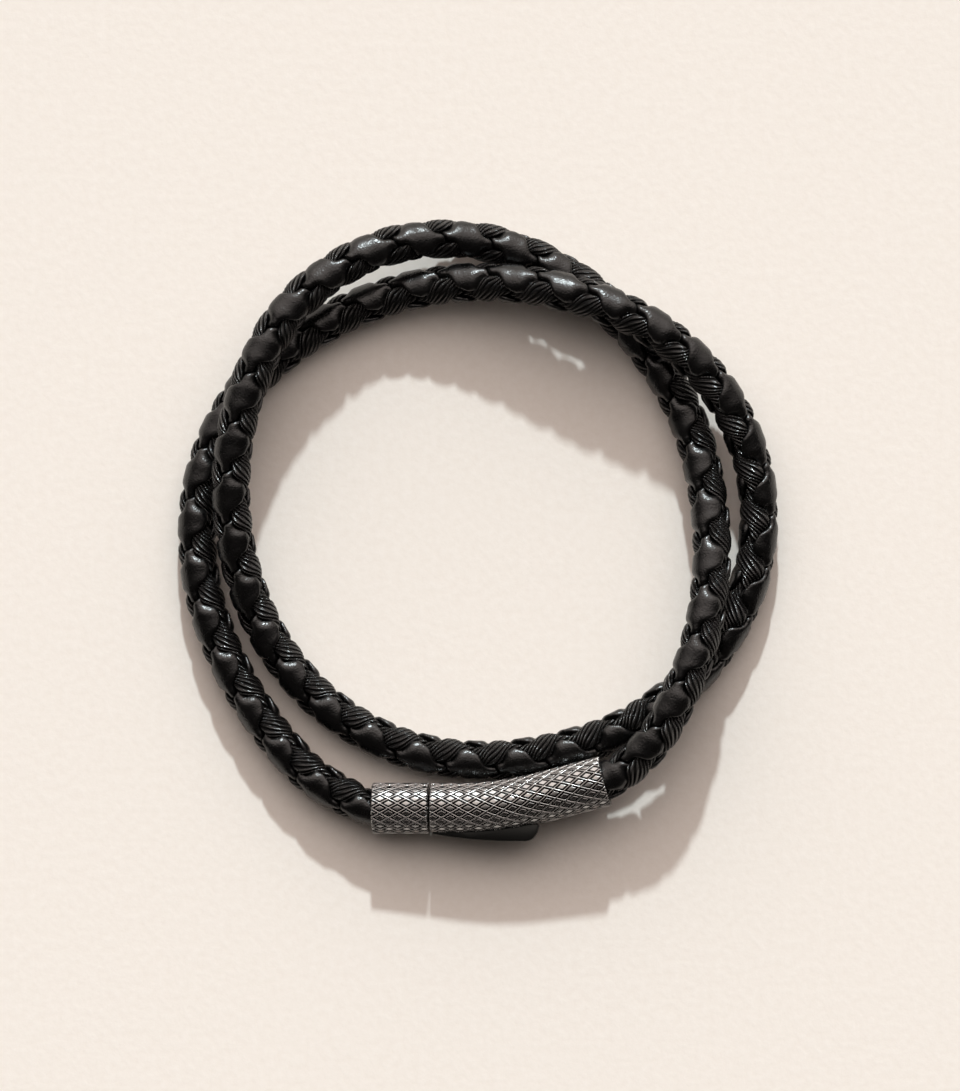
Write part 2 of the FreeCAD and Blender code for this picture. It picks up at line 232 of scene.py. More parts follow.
@dataclass(frozen=True)
class CordRoute:
    """The cord's middle line, from inside the collar twice round to inside the barrel."""

    clasp: ClaspFrame
    start_direction: float = 249.1
    steps_per_span: int = 24

    def _knots(self) -> tuple[np.ndarray, np.ndarray]:
        """Points that the line passes, and the lean at each.

        Returns:
            The points in millimetres and the leans in degrees.
        """
        wraps = np.array([station.wrap for station in ROUTE])
        radii = np.array([station.radius for station in ROUTE])
        heights = np.array([station.height for station in ROUTE])
        leans = np.array([station.lean for station in ROUTE])
        direction = np.radians(self.start_direction - wraps)
        on_route = np.column_stack([radii * np.cos(direction), radii * np.sin(direction), heights])
        clasp = self.clasp
        clasp_end = clasp.barrel_start + clasp.barrel_length
        collar_end = clasp.on_axis(clasp.collar_bore_depth - clasp.cord_end_clearance)
        barrel_end = clasp.on_axis(clasp_end - clasp.barrel_bore_depth + clasp.cord_end_clearance)
        points = np.vstack([collar_end, clasp.on_axis(0.0), on_route, clasp.on_axis(clasp_end), barrel_end])
        return points, np.pad(leans, 2, mode="edge")

    def _smooth(self, values: np.ndarray, knots: np.ndarray) -> np.ndarray:
        """Samples the smooth line through values given at knots.

        Args:
            values: One row for each knot.
            knots: Length travelled at each knot.

        Returns:
            Rows close together along the line.
        """
        spans = np.diff(knots)[:, None]
        rises = np.diff(values, axis=0) / spans
        inner = (rises[:-1] * spans[1:] + rises[1:] * spans[:-1]) / (spans[1:] + spans[:-1])
        slopes = np.vstack([rises[:1], inner, rises[-1:]])
        rows = []
        for step in range(self.steps_per_span):
            share = step / self.steps_per_span
            cube, square = share**3, share**2
            start = values[:-1] * (2 * cube - 3 * square + 1)
            start_slope = slopes[:-1] * spans * (cube - 2 * square + share)
            end = values[1:] * (3 * square - 2 * cube)
            end_slope = slopes[1:] * spans * (cube - square)
            rows.append((start + start_slope) + (end + end_slope))
        dense = np.stack(rows, axis=1).reshape(-1, values.shape[1])
        return np.vstack([dense, values[-1:]])

    def frames(self, spacing: float) -> CordFrames:
        """Frames at even spacing along the cord, and one at its very end.

        Args:
            spacing: Length from one frame to the next.

        Returns:
            The frames, with the length travelled at each.
        """
        points, leans = self._knots()
        knots = np.concatenate([[0.0], np.cumsum(np.linalg.norm(np.diff(points, axis=0), axis=1))])
        line = self._smooth(points, knots)
        turns = self._smooth(leans[:, None], knots)[:, 0]
        steps = np.linalg.norm(np.diff(line, axis=0), axis=1)
        travelled = np.concatenate([[0.0], np.cumsum(steps)])
        headings = np.gradient(line, travelled, axis=0)
        places = np.append(np.arange(0.0, travelled[-1], spacing), travelled[-1])
        middles = along(places, travelled, line)
        heading = unit(along(places, travelled, headings))
        lean = np.radians(np.interp(places, travelled, turns))[:, None]
        outward = unit(np.cross([0.0, 0.0, 1.0], heading))
        crown = np.cross(heading, outward) * np.cos(lean) + outward * np.sin(lean)
        return CordFrames(places, middles, crown, np.cross(heading, crown))


def along(places: np.ndarray, travelled: np.ndarray, rows: np.ndarray) -> np.ndarray:
    """Interpolates each column of rows at the given places.

    Args:
        places: Lengths at which values are wanted.
        travelled: Length at each row.
        rows: Values, one row for each length.

    Returns:
        One row for each place.
    """
    return np.column_stack([np.interp(places, travelled, column) for column in rows.T])


def unit(vectors: np.ndarray) -> np.ndarray:
    """Vectors of the same directions with length one."""
    return vectors / np.linalg.norm(vectors, axis=-1, keepdims=True)


# Sections of the strands across the cord


@dataclass(frozen=True)
class Section:
    """A strand's oval across the cord: distance of its middle from the cord's, and half sizes."""

    centre: float
    half_thickness: float
    half_width: float


@dataclass(frozen=True)
class StrandShape:
    """Sections of one kind of strand where it runs over, halfway, and under the other kind."""

    over: Section
    side: Section
    under: Section

    def section(self, phase: float) -> Section:
        """Section on the way from over, past the side, to under.

        Args:
            phase: Phase of the strand, 0 where it is over and a quarter turn on where it is under.

        Returns:
            The section there.
        """
        twice, four = math.cos(2 * phase), math.cos(4 * phase)
        sizes = []
        for over, side, under in zip(astuple(self.over), astuple(self.side), astuple(self.under)):
            level = (over + under) / 2
            sizes.append((level + side) / 2 + (over - under) / 2 * twice + (level - side) / 2 * four)
        return Section(*sizes)


@dataclass(frozen=True)
class BraidPattern:
    """How the four strands pass over and under each other along the cord.

    Each strand's section is an oval, and fullness sets how square it is. A rim may go past its
    oval, up to brim times its size, until it meets the next strand but for the gap. Where two
    strands meet, the braid's skin dips by valley_depth, which fades over valley_run. Brim, gap
    and run are in shares of the ovals' sizes. dwell holds a strand longer over and under.
    """

    cord_radius: float = 2.55
    pitch: float = 12.96
    start: float = 4.5
    dwell: float = 0.5
    gap: float = 0.03
    brim: float = 1.9
    valley_depth: float = 0.42
    valley_run: float = 0.20
    fullness: float = 2.3
    leather: StrandShape = StrandShape(
        over=Section(centre=1.75, half_thickness=0.80, half_width=2.45),
        side=Section(centre=1.58, half_thickness=1.20, half_width=2.15),
        under=Section(centre=0.55, half_thickness=0.55, half_width=1.60),
    )
    ribbed: StrandShape = StrandShape(
        over=Section(centre=1.75, half_thickness=0.80, half_width=2.10),
        side=Section(centre=1.38, half_thickness=1.10, half_width=1.75),
        under=Section(centre=0.60, half_thickness=0.60, half_width=1.60),
    )
    rim_steps: int = 180
    halvings: int = 22
    rounding_passes: int = 4
    easing_passes: int = 3

    def places(self, phase: float) -> list[tuple[float, Section]]:
        """Angle round the cord and section of the four strands.

        Args:
            phase: Phase of the first leather strand.

        Returns:
            The two leather strands and then the two ribbed ones, which wind the other way.
        """
        found = []
        for kind in StrandKind:
            ribbed = kind is StrandKind.RIBBED
            for half_turn in (0.0, math.pi):
                own = phase + half_turn + (math.pi / 2 if ribbed else 0.0)
                turned = own - self.dwell / 2 * math.sin(2 * own)
                shape = self.ribbed if ribbed else self.leather
                found.append((math.pi / 2 - turned if ribbed else turned, shape.section(own)))
        return found

    def reach(self, points: np.ndarray, place: tuple[float, Section]) -> np.ndarray:
        """How far points are from a strand's middle.

        Args:
            points: Points across the cord.
            place: Angle round the cord and section of the strand.

        Returns:
            The distances, where 1 is the rim of the strand's oval.
        """
        angle, section = place
        outward = points[..., 0] * math.cos(angle) + points[..., 1] * math.sin(angle) - section.centre
        across = points[..., 1] * math.cos(angle) - points[..., 0] * math.sin(angle)
        thick = np.abs(outward / section.half_thickness) ** self.fullness
        wide = np.abs(across / section.half_width) ** self.fullness
        return (thick + wide) ** (1 / self.fullness)

    def _rim(self, index: int, phase: float) -> tuple[np.ndarray, np.ndarray, np.ndarray]:
        """Rim of one strand at one phase, pressed by its neighbours.

        Args:
            index: Which of the four strands.
            phase: Phase of the first leather strand.

        Returns:
            The strand's middle, rays from its outermost side round it, and the rim's distances.
        """
        places = self.places(phase)
        angle, section = places[index]
        middle = section.centre * np.array([math.cos(angle), math.sin(angle)])
        turns = angle + np.linspace(0, 2 * math.pi, self.rim_steps, endpoint=False)
        rays = np.column_stack([np.cos(turns), np.sin(turns)])
        near = np.zeros(self.rim_steps)
        far = np.full(self.rim_steps, 2 * self.cord_radius)
        others = [place for i, place in enumerate(places) if i != index]
        for _ in range(self.halvings):
            half = (near + far) / 2
            points = middle + rays * half[:, None]
            own = self.reach(points, places[index])
            margin = np.min([self.reach(points, place) for place in others], axis=0) - own - self.gap
            limit = self.cord_radius - self.valley_depth * np.exp(-np.maximum(margin, 0) / self.valley_run)
            inside = (margin > 0) & (own <= self.brim) & (np.hypot(points[:, 0], points[:, 1]) <= limit)
            near = np.where(inside, half, near)
            far = np.where(inside, far, half)
        return middle, rays, near

    def outlines(self, index: int, count: int) -> np.ndarray:
        """Rims of one strand through a whole pitch, softened around it and along it.

        Args:
            index: Which of the four strands.
            count: Number of rings in the pitch.

        Returns:
            Points across the cord, of shape count by rim steps by 2.
        """
        first = -self.start / self.pitch
        rims = [self._rim(index, 2 * math.pi * (first + ring / count)) for ring in range(count)]
        middles, rays, distances = (np.array(part) for part in zip(*rims))
        for axis in (1,) * self.rounding_passes + (0,) * self.easing_passes:
            distances = (np.roll(distances, 1, axis) + 2 * distances + np.roll(distances, -1, axis)) / 4
        return middles[:, None] + rays * distances[..., None]


def spread_evenly(outline: np.ndarray, shares: np.ndarray) -> np.ndarray:
    """Points of a closed outline at given shares of its length.

    Args:
        outline: Corners of the outline in order.
        shares: Shares from 0 to 1, which wrap round.

    Returns:
        One point for each share.
    """
    closed = np.vstack([outline, outline[:1]])
    lengths = np.concatenate([[0.0], np.cumsum(np.linalg.norm(np.diff(closed, axis=0), axis=1))])
    return along((shares % 1.0) * lengths[-1], lengths, closed)


# Meshes


def as_object(name: str, mesh: bpy.types.Mesh) -> bpy.types.Object:
    """Links a mesh into the scene as an object at the origin.

    Args:
        name: Name of the piece.
        mesh: Its mesh.

    Returns:
        The object.
    """
    piece = bpy.data.objects.new(name, mesh)
    bpy.context.scene.collection.objects.link(piece)
    return piece


def place_vertices(bm: bmesh.types.BMesh, points: np.ndarray) -> None:
    """Moves every vertex to its own point, in the order of the vertices."""
    for vertex, point in zip(bm.verts, points.tolist()):
        vertex.co = point


def finish_mesh(bm: bmesh.types.BMesh, name: str, placement: Matrix | None = None) -> bpy.types.Object:
    """Turns a closed bmesh in millimetres into a smooth object in metres.

    Args:
        bm: The mesh, which is freed.
        name: Name of the piece.
        placement: Where the mesh goes, in millimetres.

    Returns:
        The object, at the origin with its place in its mesh.
    """
    if placement is not None:
        bmesh.ops.transform(bm, matrix=placement, verts=bm.verts)
    bmesh.ops.scale(bm, vec=(MM, MM, MM), verts=bm.verts)
    bmesh.ops.recalc_face_normals(bm, faces=bm.faces)
    mesh = bpy.data.meshes.new(name)
    bm.to_mesh(mesh)
    bm.free()
    mesh.shade_smooth()
    return as_object(name, mesh)


def open_edges(edges: Iterable[bmesh.types.BMEdge]) -> list[bmesh.types.BMEdge]:
    """Those edges that have only one face."""
    return [edge for edge in edges if edge.is_boundary]


@dataclass(frozen=True)
class StrandMesh:
    """Wraps a grid round a strand, ring by ring along the cord."""

    columns: int
    around: float
    length: float

    def build(self, name: str, rings: np.ndarray) -> bpy.types.Object:
        """Makes a closed strand from its rings.

        Args:
            name: Name of the piece.
            rings: Points in millimetres, of shape rings by columns by 3.

        Returns:
            The strand, whose UV map counts around it and runs in metres along it.
        """
        count = len(rings)
        closed = np.concatenate([rings, rings[:, :1]], axis=1).reshape(-1, 3)
        bm = bmesh.new()
        bmesh.ops.create_grid(bm, x_segments=self.columns, y_segments=count - 1, size=1.0, calc_uvs=False)
        uv = bm.loops.layers.uv.new(LAY)
        bm.verts.index_update()
        for face in bm.faces:
            rows, columns = zip(*[divmod(vertex.index, self.columns + 1) for vertex in face.verts])
            for loop, row, column in zip(face.loops, rows, columns):
                loop[uv].uv = (column / self.columns * self.around, row / (count - 1) * self.length * MM)
        place_vertices(bm, closed)
        bmesh.ops.remove_doubles(bm, verts=bm.verts, dist=WELD_DISTANCE)
        bmesh.ops.holes_fill(bm, edges=open_edges(bm.edges), sides=0)
        return finish_mesh(bm, name)


# Finishes


def linear_colour(code: str) -> tuple[float, float, float, float]:
    """Linear colour of an sRGB colour.

    Args:
        code: The colour in hex, such as #1a2b3c.

    Returns:
        Red, green, blue and full opacity.
    """
    channels = [int(code[i:i + 2], 16) / 255 for i in (1, 3, 5)]
    linear = [c / 12.92 if c <= 0.04045 else ((c + 0.055) / 1.055) ** 2.4 for c in channels]
    return (*linear, 1.0)


def add_node(
    tree: bpy.types.NodeTree,
    kind: str,
    settings: dict[str | int, Any] | None = None,
    links: dict[str | int, Socket] | None = None,
) -> bpy.types.Node:
    """Adds one node with its settings and links.

    Args:
        tree: Node tree of a material or of the world.
        kind: Blender's name of the node's type.
        settings: Values of the node's own properties or of its inputs.
        links: Sockets that feed the node's inputs.

    Returns:
        The new node.
    """
    node = tree.nodes.new(kind)
    for key, value in (settings or {}).items():
        if isinstance(key, str) and hasattr(node, key):
            setattr(node, key, value)
        else:
            node.inputs[key].default_value = value
    for key, socket in (links or {}).items():
        tree.links.new(socket, node.inputs[key])
    return node


class Recipe:
    """A material in the making, with the few textures that this bracelet's finishes use.

    Sizes and depths are in millimetres.
    """

    def __init__(self, name: str) -> None:
        """Starts an empty material.

        Args:
            name: Name of the material, for its real finish.
        """
        self.material = bpy.data.materials.new(name)
        self.material.use_nodes = True
        self.tree = self.material.node_tree
        self.tree.nodes.clear()
        self.place = add_node(self.tree, "ShaderNodeTexCoord").outputs["Object"]

    def noise(self, size: float, **settings: float) -> Socket:
        """Soft random marks of a size, from 0 to 1, with further settings of the noise node."""
        settings["Scale"] = 1 / (size * MM)
        return add_node(self.tree, "ShaderNodeTexNoise", settings, {"Vector": self.place}).outputs["Fac"]

    def pebbles(self, size: float, smoothness: float) -> Socket:
        """Rounded cells of a size, low in the middle and high where they meet.

        Args:
            size: Distance from cell to cell.
            smoothness: How far the cells run into each other, from 0 to 1.

        Returns:
            Height of the pattern.
        """
        settings = {"feature": "SMOOTH_F1", "Scale": 1 / (size * MM), "Smoothness": smoothness}
        cells = add_node(self.tree, "ShaderNodeTexVoronoi", settings, {"Vector": self.place})
        return cells.outputs["Distance"]

    def bump(self, height: Socket, depth: float, under: Socket | None = None) -> Socket:
        """Relief that a pattern gives the surface.

        Args:
            height: The pattern, from 0 to 1.
            depth: Depth of the relief.
            under: A relief that this one lies over.

        Returns:
            The surface's normal.
        """
        links = {"Height": height} if under is None else {"Height": height, "Normal": under}
        settings = {"Strength": 1.0, "Distance": depth * MM}
        return add_node(self.tree, "ShaderNodeBump", settings, links).outputs["Normal"]

    def rescale(self, value: Socket, ends: Pair, onto: Pair) -> Socket:
        """Carries a value from one stretch of numbers to another.

        Args:
            value: The value.
            ends: Ends of the stretch that it comes from.
            onto: Ends of the stretch that it goes to.

        Returns:
            The value on its new stretch.
        """
        settings = {"From Min": ends[0], "From Max": ends[1], "To Min": onto[0], "To Max": onto[1]}
        return add_node(self.tree, "ShaderNodeMapRange", settings, {"Value": value}).outputs["Result"]

    def added(self, first: Socket, second: Socket) -> Socket:
        """Two values added up."""
        node = add_node(self.tree, "ShaderNodeMath", {"operation": "ADD"}, {0: first, 1: second})
        return node.outputs["Value"]

    def calculated(self, operation: str, value: Socket, number: float) -> Socket:
        """A value after one operation of Blender's math node with a fixed number."""
        node = add_node(self.tree, "ShaderNodeMath", {"operation": operation, 1: number}, {0: value})
        return node.outputs["Value"]

    def two_tones(self, factor: Socket, dark: str, light: str, ends: Pair) -> Socket:
        """Colour that follows a pattern.

        Args:
            factor: The pattern.
            dark: Colour up to its lower end, in hex.
            light: Colour from its upper end on, in hex.
            ends: Values of the pattern at both ends.

        Returns:
            The colour.
        """
        ramp = add_node(self.tree, "ShaderNodeValToRGB", links={"Fac": factor})
        for element, place, code in zip(ramp.color_ramp.elements, ends, (dark, light)):
            element.position = place
            element.color = linear_colour(code)
        return ramp.outputs["Color"]

    def finish(self, settings: dict[str, float], links: dict[str, Socket]) -> bpy.types.Material:
        """Closes the material with its surface shader.

        Args:
            settings: Values of the shader that are the same all over.
            links: Values of the shader that follow a pattern.

        Returns:
            The finished material.
        """
        shader = add_node(self.tree, "ShaderNodeBsdfPrincipled", settings, links)
        add_node(self.tree, "ShaderNodeOutputMaterial", links={"Surface": shader.outputs["BSDF"]})
        return self.material


@dataclass(frozen=True)
class NappaLeather:
    """Black nappa: fine pebbled grain and faint stretch lines under a soft wax sheen."""

    dark: str = "#030303"
    light: str = "#080707"
    tone_ends: Pair = (0.35, 0.75)
    pebble_size: float = 0.22
    pebble_smoothness: float = 0.6
    pebble_depth: float = 0.028
    wrinkle_size: float = 1.8
    wrinkle_depth: float = 0.05
    wrinkle_ends: Pair = (0.35, 0.65)
    roughness: Pair = (0.24, 0.32)
    specular: float = 0.50
    refraction: float = 1.5

    def material(self) -> bpy.types.Material:
        """Builds the material; the grain breaks the highlight into fine grey flecks.

        Returns:
            The leather.
        """
        recipe = Recipe("black_nappa_leather")
        wrinkles = recipe.noise(self.wrinkle_size, Detail=5.0, Roughness=0.55, Distortion=0.8)
        grain = recipe.bump(recipe.pebbles(self.pebble_size, self.pebble_smoothness), self.pebble_depth)
        return recipe.finish(
            {"IOR": self.refraction, "Specular IOR Level": self.specular},
            {
                "Base Color": recipe.two_tones(wrinkles, self.dark, self.light, self.tone_ends),
                "Roughness": recipe.rescale(wrinkles, self.wrinkle_ends, self.roughness),
                "Normal": recipe.bump(wrinkles, self.wrinkle_depth, grain),
            },
        )


@dataclass(frozen=True)
class TwistedTextile:
    """Black waxed cotton: thin two-ply cords whose twist shows as a row of small lights."""

    dark: str = "#050404"
    light: str = "#0d0c0c"
    tone_ends: Pair = (0.1, 0.7)
    twist_length: float = 0.30
    twist_depth: float = 0.17
    fibre_size: float = 0.07
    fibre_depth: float = 0.010
    roughness: float = 0.20
    crest_ends: Pair = (0.12, 0.36)
    specular: Pair = (0.05, 1.0)
    refraction: float = 1.5

    def material(self) -> bpy.types.Material:
        """Builds the material; the UV map counts cords around and runs in metres along.

        Each cord's crest is waxed and shines, and the furrow between two cords stays dull.

        Returns:
            The textile.
        """
        recipe = Recipe("black_twisted_textile")
        lay = add_node(recipe.tree, "ShaderNodeUVMap", {"uv_map": LAY}).outputs["UV"]
        split = add_node(recipe.tree, "ShaderNodeSeparateXYZ", links={"Vector": lay}).outputs
        turns = recipe.calculated("DIVIDE", split["Y"], self.twist_length * MM)
        wave = recipe.calculated("PINGPONG", recipe.added(turns, split["X"]), 0.5)
        ply = recipe.calculated("POWER", wave, 0.5)
        across = recipe.calculated("PINGPONG", split["X"], 0.5)
        fibres = recipe.noise(self.fibre_size, Detail=2.0)
        return recipe.finish(
            {"Roughness": self.roughness, "IOR": self.refraction},
            {
                # painted shade: the base colour is a little darker in the furrows of the twist
                "Base Color": recipe.two_tones(ply, self.dark, self.light, self.tone_ends),
                "Specular IOR Level": recipe.rescale(across, self.crest_ends, self.specular),
                "Normal": recipe.bump(ply, self.twist_depth, recipe.bump(fibres, self.fibre_depth)),
            },
        )


@dataclass(frozen=True)
class GunmetalSteel:
    """Steel with a gunmetal plating, painted dark in the knurl's grooves as painted shade and left light on
    the diamonds.
    """

    dark: str = "#282726"
    light: str = "#9b9a99"
    tone_ends: Pair = (0.1, 0.8)
    streak_size: float = 0.5
    streak_ends: Pair = (0.3, 0.7)
    roughness: Pair = (0.17, 0.25)
    polish_size: float = 0.05
    polish_depth: float = 0.0012

    def material(self) -> bpy.types.Material:
        """Builds the material; fine polishing marks soften each diamond's reflection.

        Returns:
            The plated steel, whose colour follows the mesh's own relief: painted shade, darker where the
            relief is low in the grooves.
        """
        recipe = Recipe("gunmetal_plated_steel")
        height = add_node(recipe.tree, "ShaderNodeAttribute", {"attribute_name": RELIEF}).outputs["Fac"]
        streaks = recipe.noise(self.streak_size, Detail=4.0)
        return recipe.finish(
            {"Metallic": 1.0},
            {
                # painted shade: the colour darkens where the knurl's relief is low, in its grooves
                "Base Color": recipe.two_tones(height, self.dark, self.light, self.tone_ends),
                "Roughness": recipe.rescale(streaks, self.streak_ends, self.roughness),
                "Normal": recipe.bump(recipe.noise(self.polish_size, Detail=2.0), self.polish_depth),
            },
        )


@dataclass(frozen=True)
class SatinDarkSteel:
    """Lever steel under a satin dark coating, even and without knurl."""

    dark: str = "#303130"
    light: str = "#373837"
    tone_ends: Pair = (0.3, 0.7)
    roughness: float = 0.38
    blast_size: float = 0.06
    blast_depth: float = 0.0015

    def material(self) -> bpy.types.Material:
        """Builds the material; the blasted surface shows as one even grey.

        Returns:
            The coated steel.
        """
        recipe = Recipe("satin_dark_steel")
        blast = recipe.noise(self.blast_size, Detail=3.0)
        return recipe.finish(
            {"Metallic": 1.0, "Roughness": self.roughness},
            {
                "Base Color": recipe.two_tones(blast, self.dark, self.light, self.tone_ends),
                "Normal": recipe.bump(blast, self.blast_depth),
            },
        )


@dataclass(frozen=True)
class CreamPaper:
    """Uncoated cream paper under the bracelet, with a faint felt mark."""

    dark: str = "#efe8e0"
    light: str = "#f3ede6"
    tone_ends: Pair = (0.3, 0.7)
    felt_size: float = 1.1
    felt_depth: float = 0.03
    roughness: float = 0.9
    specular: float = 0.2

    def material(self) -> bpy.types.Material:
        """Builds the material; the felt mark shows as faint ripples in low light.

        Returns:
            The paper.
        """
        recipe = Recipe("cream_paper")
        felt = recipe.noise(self.felt_size, Detail=5.0, Roughness=0.6)
        return recipe.finish(
            {"Roughness": self.roughness, "Specular IOR Level": self.specular},
            {
                "Base Color": recipe.two_tones(felt, self.dark, self.light, self.tone_ends),
                "Normal": recipe.bump(felt, self.felt_depth),
            },
        )


# Sub-assemblies


def settle(
    piece: bpy.types.Object,
    body: str,
    material: bpy.types.Material,
    nodes: Sequence[str],
) -> None:
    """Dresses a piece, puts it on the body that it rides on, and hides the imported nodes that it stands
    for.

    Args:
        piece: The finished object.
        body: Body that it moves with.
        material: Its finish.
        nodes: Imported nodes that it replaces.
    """
    piece.data.materials.clear()
    piece.data.materials.append(material)
    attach(piece, body)
    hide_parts(*nodes)
    log.info("%s: %d faces, rides on %s", piece.name, len(piece.data.polygons), body)


@dataclass
class Braid:
    """The four strands of the cord.

    A ribbed strand is a bundle of thin cords that rolls by roll_per_pitch turns in each pitch
    of the braid. Near the collar the cord is drawn in to squeeze times its thickness.
    """

    route: CordRoute
    pattern: BraidPattern = BraidPattern()
    leather_rings: int = 48
    ribbed_rings: int = 30
    leather_columns: int = 48
    cords_around: int = 10
    columns_per_cord: int = 9
    cord_depth: float = 0.28
    roll_per_pitch: float = -0.6
    lay_factor: float = 1.3
    squeeze: float = 0.90
    squeeze_run: float = 4.0

    def _squeeze_at(self, places: np.ndarray) -> np.ndarray:
        """How much the cord is drawn in near the collar.

        Args:
            places: Lengths travelled along the cord.

        Returns:
            Scale of the cord's thickness at each place.
        """
        clasp = self.route.clasp
        mouth = clasp.collar_bore_depth - clasp.cord_end_clearance
        share = np.clip((places - mouth) / self.squeeze_run, 0, 1)
        return self.squeeze + (1 - self.squeeze) * share * share * (3 - 2 * share)

    def _ribbed_ring(self, outline: np.ndarray, rolled: float) -> np.ndarray:
        """Ring of a flat bundle of round cords laid side by side round the outline.

        Args:
            outline: The bundle's rim.
            rolled: Share of a turn that the bundle has rolled about its own middle.

        Returns:
            Points across the cord.
        """
        columns = self.cords_around * self.columns_per_cord
        shares = np.arange(columns) / columns + rolled
        step = 0.25 / columns
        rim = spread_evenly(outline, shares)
        tangent = unit(spread_evenly(outline, shares + step) - spread_evenly(outline, shares - step))
        inward = np.column_stack([-tangent[:, 1], tangent[:, 0]])
        across = np.arange(columns) % self.columns_per_cord / self.columns_per_cord * 2 - 1
        drop = self.cord_depth * (1 - np.sqrt(1 - across**2))
        return rim + inward * drop[:, None]

    def _build_strand(self, kind: StrandKind, number: int) -> bpy.types.Object:
        """Makes one strand.

        Args:
            kind: Leather or ribbed.
            number: 1 or 2.

        Returns:
            The strand's object.
        """
        leather = kind is StrandKind.LEATHER
        per_pitch = self.leather_rings if leather else self.ribbed_rings
        frames = self.route.frames(self.pattern.pitch / per_pitch)
        outlines = self.pattern.outlines(list(StrandKind).index(kind) * 2 + number - 1, per_pitch)
        shares = np.arange(self.leather_columns) / self.leather_columns
        plain = [spread_evenly(outline, shares) for outline in outlines]
        rings = []
        for place in frames.places:
            turn = place / self.pattern.pitch
            ring = round(turn * per_pitch) % per_pitch
            if leather:
                rings.append(plain[ring])
            else:
                rings.append(self._ribbed_ring(outlines[ring], self.roll_per_pitch * turn))
        across = np.array(rings) * self._squeeze_at(frames.places)[:, None, None]
        spots = frames.middles[:, None] + across[..., :1] * frames.crowns[:, None]
        spots = spots + across[..., 1:] * frames.sides[:, None]
        mesh = StrandMesh(
            columns=spots.shape[1],
            around=1 if leather else self.cords_around,
            length=frames.places[-1] * self.lay_factor,
        )
        return mesh.build(f"{kind.value}_{number}_braided", spots)

    def build(self) -> None:
        """Makes the strands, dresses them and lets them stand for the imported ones."""
        finishes = {
            StrandKind.LEATHER: (NappaLeather().material(), Slot.LEATHER),
            StrandKind.RIBBED: (TwistedTextile().material(), Slot.TEXTILE),
        }
        for kind, (material, slot) in finishes.items():
            for number in (1, 2):
                strand = self._build_strand(kind, number)
                node = f"{kind.value}_{number}"
                settle(strand, MAIN_BODY, material, (f"{node}_first_turn", f"{node}_second_turn"))


@dataclass(frozen=True)
class DiamondKnurl:
    """Two crossing families of thin ridges, with a raised pad in each diamond between them.

    wall, groove_start, groove_end, pad_slope and pad_edge are shares of the distance between
    ridges. The groove lies between a ridge's wall and the slope of the pad.
    """

    radius: float
    diamonds_around: int = 16
    diamond_length: float = 2.30
    groove_depth: float = 0.32
    groove_start: float = 0.13
    groove_end: float = 0.15
    wall: float = 0.08
    pad_slope: float = 0.11
    pad_edge: float = 0.025
    pad_height: float = 0.88

    @property
    def stops(self) -> np.ndarray:
        """Where the mesh has lines across one diamond.

        Returns:
            Places from ridge to ridge, as shares of the distance between them.
        """
        foot = self.groove_start - self.wall
        brink = self.groove_end + self.pad_slope
        ridge = [foot, (foot + self.groove_start) / 2, self.groove_start]
        pad = [self.groove_end, (self.groove_end + brink) / 2, brink, brink + self.pad_edge]
        return np.array([0.0, *ridge, *pad, 0.5, *(1 - stop for stop in reversed(ridge + pad))])

    def shell(self, start: float, end: float) -> bmesh.types.BMesh:
        """An open tube with knurled skin, cut square at both ends.

        Args:
            start: Place of its first end along the clasp.
            end: Place of its second end.

        Returns:
            The tube about the x axis.
        """
        stops = self.stops
        per_cell = len(stops)
        first = math.floor(-2 * end / self.diamond_length) - 1
        last = math.ceil(self.diamonds_around - 2 * start / self.diamond_length) + 1
        columns, rows = self.diamonds_around * per_cell, (last - first) * per_cell
        bm = bmesh.new()
        bmesh.ops.create_grid(bm, x_segments=columns, y_segments=rows, size=1.0)
        column = np.arange(columns + 1)
        row = np.arange(rows + 1)
        rising = column // per_cell + stops[column % per_cell]
        falling = first + row // per_cell + stops[row % per_cell]
        rise, fall = np.meshgrid(rising, falling)
        angle = (rise + fall).ravel() / 2 * (2 * math.pi / self.diamonds_around)
        place = (rise - fall).ravel() / 2 * self.diamond_length
        relief = self._relief(rise, fall).ravel()
        reach = self.radius - self.groove_depth * (1 - relief)
        place_vertices(bm, np.column_stack([place, reach * np.sin(angle), reach * np.cos(angle)]))
        height = bm.verts.layers.float.new(RELIEF)
        for vertex, share in zip(bm.verts, relief.tolist()):
            vertex[height] = share
        bmesh.ops.remove_doubles(bm, verts=bm.verts, dist=WELD_DISTANCE)
        for cut, outward in ((start, -1.0), (end, 1.0)):
            bmesh.ops.bisect_plane(
                bm,
                geom=[*bm.verts, *bm.edges, *bm.faces],
                dist=WELD_DISTANCE,
                plane_co=(cut, 0.0, 0.0),
                plane_no=(outward, 0.0, 0.0),
                clear_outer=True,
            )
        return bm

    def _relief(self, rise: np.ndarray, fall: np.ndarray) -> np.ndarray:
        """Height over the grooves' floor.

        Args:
            rise: Places across the first family of ridges, which stand at whole numbers.
            fall: Places across the second family.

        Returns:
            The heights, from 0 in a groove to 1 on a ridge.
        """
        across = [np.abs(line - np.round(line)) for line in (rise, fall)]
        ridges = [np.clip((self.groove_start - away) / self.wall, 0, 1) for away in across]
        pads = [np.clip((away - self.groove_end) / self.pad_slope, 0, 1) for away in across]
        return np.maximum(np.maximum(*ridges), np.minimum(*pads) * self.pad_height)


@dataclass(frozen=True)
class Step:
    """A ring that an end's inner surface passes: its place along the clasp and its radius."""

    place: float
    radius: float


